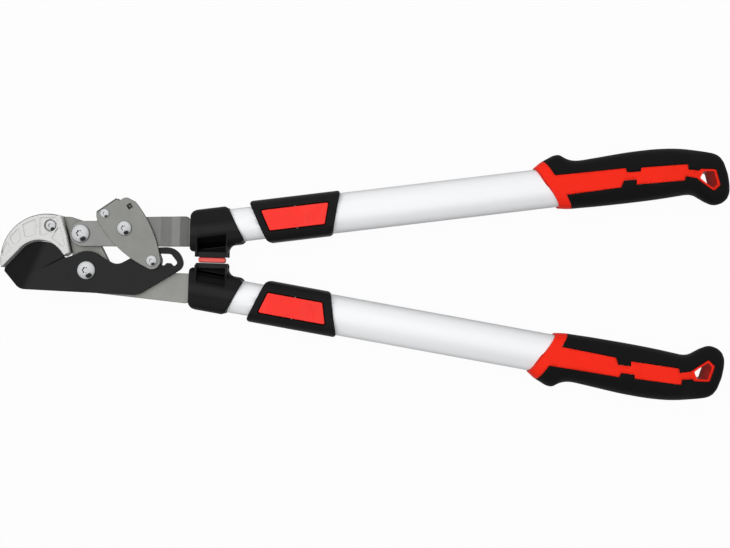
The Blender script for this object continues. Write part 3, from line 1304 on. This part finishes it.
INLAY = [(78, 8.2), (78.6, 4.2), (91, 3.6), (92, 7), (134.2, 5), (134, 0.2), (145.1, -1.5),
         (147, 0, 1.2), (161.2, -1.8, 1.6), (163.4, -16.7, 1.6), (157.2, -21.2, 1.6), (141.8, -8.2, 1.2),
         (131, -5.2), (129.8, -9), (86.2, -7.6), (86.6, -3.1), (75, -2.6), (72, -8.4)]
INLAY_EDGE = (9.3, -9.2)
HANG_HOLE = [(149.0, -2.4), (159.2, -3.4), (161.0, -15.7), (156.8, -18.8), (145.0, -8.3)]
HANG_ROUND = 1.2
ROLL, GRIP_STEP, GRIP_WALL = 22.0, 2.2, 0.8
END_DOME = [(1, 0), (0.75, 0.5), (0.4, 0.8), (0, 0.9)]


def hole_marks(f):
    """Darker wall of the hang hole."""
    wall_shade = 0.42
    _, along, out = f.on_handle()
    near = along.band(GRIP_AT + 141, GRIP_AT + 162, 0.5) * out.band(-21, 0, 0.5)
    return 1 - f.leaning() * near * wall_shade


grip_red = painted("grip_red_finish", "red_grip", srgb(250, 44, 28), rough=0.42, grain=0.6, depth=0.012,
                   blotch=0.03, marks=hole_marks, Specular_IOR_Level=0.03)


def grip_width(s):
    """Middle and half width of the grip at a station."""
    out = TUBE_W / 2 + smooth_through(GRIP_SHAPE, 1, s)
    inn = -TUBE_W / 2 - smooth_through(GRIP_SHAPE, 2, s)
    return (out + inn) / 2, (out - inn) / 2


def bent(v):
    """Cosine or sine bent to the grip's fuller section."""
    return np.sign(v) * np.abs(v) ** GRIP_POWER


def on_grip(side, face, p):
    """Skin of the grip: a rounded section whose width and height follow the stations.

    The point (along, roll) has its angle round the section in roll; face is 1 above, -1 below.
    """
    mid, half = grip_width(p[:, 0])
    a = p[:, 1] / ROLL
    high = GRIP_TOP * smooth_through(GRIP_SHAPE, 3, p[:, 0])
    up = face * high * bent(np.clip(np.sin(a), 0, 1))
    return handle(side, GRIP_AT + p[:, 0], mid + half * bent(np.cos(a)), up)


def unroll(plan):
    """Plan points of the grip, along and outwards, as (along, roll) on its skin."""
    mid, half = grip_width(plan[:, 0])
    v = np.clip((plan[:, 1] - mid) / half, -1, 1)
    a = np.arccos(np.sign(v) * np.abs(v) ** (1 / GRIP_POWER))
    return np.stack([plan[:, 0], a * ROLL], 1)


def slant_line(shift, start, stop, n=24):
    """Line across the grip parallel to its slanted front, from one roll to another."""
    a = np.linspace(start, stop, n) / ROLL
    s = np.full(n, shift + FRONT_SLANT * TUBE_W / 2)
    for _ in range(40):
        mid, half = grip_width(s)
        s = shift + FRONT_SLANT * (TUBE_W / 2 - mid - half * bent(np.cos(a)))
    return np.stack([s, a * ROLL], 1)


def inlay_chain(grow):
    """Edge of the inlay from the band along its upper side, round the hang hole and back."""
    line = BAND_W + grow
    first, last = INLAY_EDGE[0] + grow, INLAY_EDGE[1] - grow
    ends = [(line + FRONT_SLANT * (TUBE_W / 2 - t), t) for t in (first, last)]
    corners = [ends[0]] + INLAY + [ends[1]]
    grown = inset(np.array([c[:2] for c in corners]), grow)
    keyed = [(*p, *c[2:]) for p, c in zip(grown, corners)]
    keyed[0], keyed[-1] = ends
    return finer(rounded(keyed, 4), 1.5, closed=False)


def silhouette(start, stop, roll):
    """Line along the grip at one roll."""
    s = np.linspace(start, stop, max(2, int(abs(stop - start) / 2.0)))
    return np.stack([s, np.full(len(s), roll)], 1)


def make_grip(side):
    """Two-part grip: the red core with band, inlay and hole rim, and the black cover around it."""
    name = SIDES[side]
    far = math.pi * ROLL
    end = GRIP_SHAPE[-1][0]
    core, cover = Skin(), Skin()
    front = slant_line(0, 0, far)
    chain = unroll(inlay_chain(0))
    back_out, back_in = slant_line(BAND_W, 0, chain[0, 1]), slant_line(BAND_W, chain[-1, 1], far)
    hole = unroll(finer(rounded([with_radius(p, HANG_ROUND) for p in HANG_HOLE], 4), 1.5))
    red = loop_of(front[::-1], silhouette(front[0, 0], back_out[0, 0], 0)[1:-1], back_out, chain[1:-1],
                  back_in, silhouette(back_in[-1, 0], front[-1, 0], far)[1:-1])
    wide = unroll(inlay_chain(GROOVE))
    side_out = slant_line(BAND_W + GROOVE, 0, wide[0, 1])
    side_in = slant_line(BAND_W + GROOVE, wide[-1, 1], far)
    rim = np.stack([np.full(30, end), np.linspace(far, 0, 30)], 1)
    black = loop_of(side_out, wide[1:-1], side_in, silhouette(side_in[-1, 0], end, far)[1:-1], rim,
                    silhouette(end, side_out[0, 0], 0)[1:-1])
    for face in (1, -1):
        core.patch([red, hole], lambda p: on_grip(side, face, p), GRIP_STEP)
        cover.patch([black], lambda p: on_grip(side, face, p), GRIP_STEP)
        mouth = on_grip(side, face, front)
        bore = np.clip(front[:, 1] / ROLL, 0, math.pi)
        seat = handle(side, GRIP_AT + front[:, 0], (TUBE_W + PRESS_PLAY) / 2 * np.cos(bore),
                      face * (TUBE_H + PRESS_PLAY) / 2 * np.sin(bore))
        core.grid(np.array([mouth, seat]), wrap=False)
        edge = on_grip(side, face, rim)
        centre = edge.mean(0) * [1, 1, 0] + [0, 0, PIVOT[2]]
        tip = [centre + (edge - centre) * k + handle(side, d, 0, 0) - handle(side, 0, 0, 0)
               for k, d in END_DOME]
        cover.grid(np.array(tip), wrap=False)
    core.grid(np.array([on_grip(side, 1, hole), on_grip(side, -1, hole)]))
    core.make(name + "_grip_red", grip_red, name + "_grip_core", sharp=45, thick=GRIP_WALL)
    cover.make(name + "_grip_black", soft_black, name + "_grip_cover", sharp=45, thick=GRIP_WALL)


make_lower_arm()
make_anvil()
make_upper_arm()
make_blade()
make_link()
make_spring()
for bolt in ("blade_bolt", "arm_bolt", "link_bolt", "pawl_pin", "stop_bolt", "anvil_screw"):
    make_bolt(bolt)
for nut in ("blade_nut", "arm_nut", "link_nut", "pawl_nut", "stop_nut"):
    make_nut(nut)
make_bumper()
for side in SIDES:
    make_collar(side)
    make_inner_tube(side)
    make_outer_tube(side)
    make_sleeve(side)
    make_rocker(side)
    make_grip(side)

# Inner pieces keep their solids and take a finish
KEPT = {"washer": arm_steel, "tang_pins": zinc, "latch_pin": arm_steel, "lock_peg": zinc,
        "latch_leaf": spring_wire, "tang_insert": hard_black, "tube_guide": hard_black}
for node, solid in frame["nodes"].items():
    for ending, finish in KEPT.items():
        if node.endswith(ending):
            solid.data.materials.clear()
            solid.data.materials.append(finish.material)

# Stage: pale floor, soft light from above and from the upper left, camera straight above
FLOOR_SIZE, FLOOR_SHOWN = 6.0, 0.96
PAPER_DARK, PAPER_PALE = srgb(192, 192, 192), srgb(199, 199, 199)
WHITE = (1, 1, 1, 1)


def make_floor():
    """Paper floor: almost white where it is seen or mirrored, with a share of the object's shadow."""
    mesh = bpy.data.meshes.new("floor")
    h = FLOOR_SIZE / 2
    mesh.from_pydata([(-h, -h, 0), (h, -h, 0), (h, h, 0), (-h, h, 0)], [], [(0, 1, 2, 3)])
    floor = bpy.data.objects.new("floor", mesh)
    bpy.context.scene.collection.objects.link(floor)
    paper = Finish("paper", None)
    camera, mirrored = paper.rays()
    paper.set(Base_Color=paper.mix(paper.noise(30, 2), PAPER_DARK, PAPER_PALE), Roughness=0.9)
    glow = paper.node("Emission", None, {"Color": WHITE})
    lit = Value(paper, paper.shader.outputs[0])
    shown = paper.node("MixShader", None, {0: camera.most(mirrored) * FLOOR_SHOWN, 1: lit, 2: glow})
    paper.fill(paper.tree.nodes["Material Output"], {"Surface": shown})
    mesh.materials.append(paper.material)


def make_lamp(name, place, target, size, power):
    """Round soft lamp that faces a target and isn't mirrored."""
    data = bpy.data.lights.new(name, "AREA")
    data.shape, data.size, data.energy = "DISK", size, power
    lamp = bpy.data.objects.new(name, data)
    bpy.context.scene.collection.objects.link(lamp)
    lamp.location = place
    lamp.visible_glossy = False
    lamp.rotation_mode = "QUATERNION"
    lamp.rotation_quaternion = (Vector(target) - Vector(place)).to_track_quat("-Z", "Y")


CAMERA_TURN = math.radians(1.78)
CAMERA_HEIGHT = 695.0
VIEW_CENTRE = (PIVOT[0] + 253.6, -8.4)
VIEW_WIDTH = 671.6
SENSOR = 36.0


def make_camera():
    """Looks straight down: the photograph's width is VIEW_WIDTH in the middle plane of the tubes."""
    data = bpy.data.cameras.new("camera")
    data.sensor_fit, data.sensor_width = "HORIZONTAL", SENSOR
    data.lens = SENSOR * CAMERA_HEIGHT / VIEW_WIDTH
    data.clip_start, data.clip_end = 0.01, 50
    camera = bpy.data.objects.new("camera", data)
    bpy.context.scene.collection.objects.link(camera)
    place = Vector((VIEW_CENTRE[0], VIEW_CENTRE[1], CAMERA_HEIGHT + PIVOT[2])) * MM
    camera.matrix_world = Matrix.Translation(place) @ Matrix.Rotation(CAMERA_TURN, 4, "Z")
    bpy.context.scene.camera = camera


SKY_LIGHT, SKY_MIRRORED, SKY_LEAN = 0.32, 0.95, 0.35
BRIGHT_WAY = unit((-0.35, 0.5, 0.8))
PANEL_WAY = unit((0.114, -0.68, 0.724))
PANEL_EDGE, PANEL_DARK = (27, 20), 0.95


def make_world():
    """Sky: white where it is seen, softer as a light, brighter to the upper left, with one dark panel.

    The panel is mirrored near the lower edge of every bolt head.
    """
    scene = bpy.context.scene
    scene.world = bpy.data.worlds.new("studio")
    scene.world.use_nodes = True
    sky = Nodes(scene.world.node_tree)
    way = sky.node("TexCoord", output="Generated")
    bright, panel = [sky.node("VectorMath", {"operation": "DOT_PRODUCT"}, {0: way, 1: w}, "Value")
                     for w in (BRIGHT_WAY, PANEL_WAY)]
    dark = panel.ramp(*[math.cos(math.radians(a)) for a in PANEL_EDGE])
    camera, mirrored = sky.rays()
    level = SKY_LIGHT + mirrored * (SKY_MIRRORED - SKY_LIGHT)
    level = level * (1 - SKY_LEAN + bright * SKY_LEAN) * (1 - dark * mirrored * PANEL_DARK)
    shown = camera + (1 - camera) * level
    sky.fill(sky.tree.nodes["Background"], {"Color": WHITE, "Strength": shown})


make_floor()
make_lamp("overhead", (-0.2, 0.05, 1.6), (0, 0, 0), 2.4, 30)
make_lamp("upper_left", (-1.1, 0.9, 1.0), (-0.1, 0, 0), 0.7, 3)
make_camera()
make_world()
bpy.context.scene.view_settings.view_transform = "Standard"
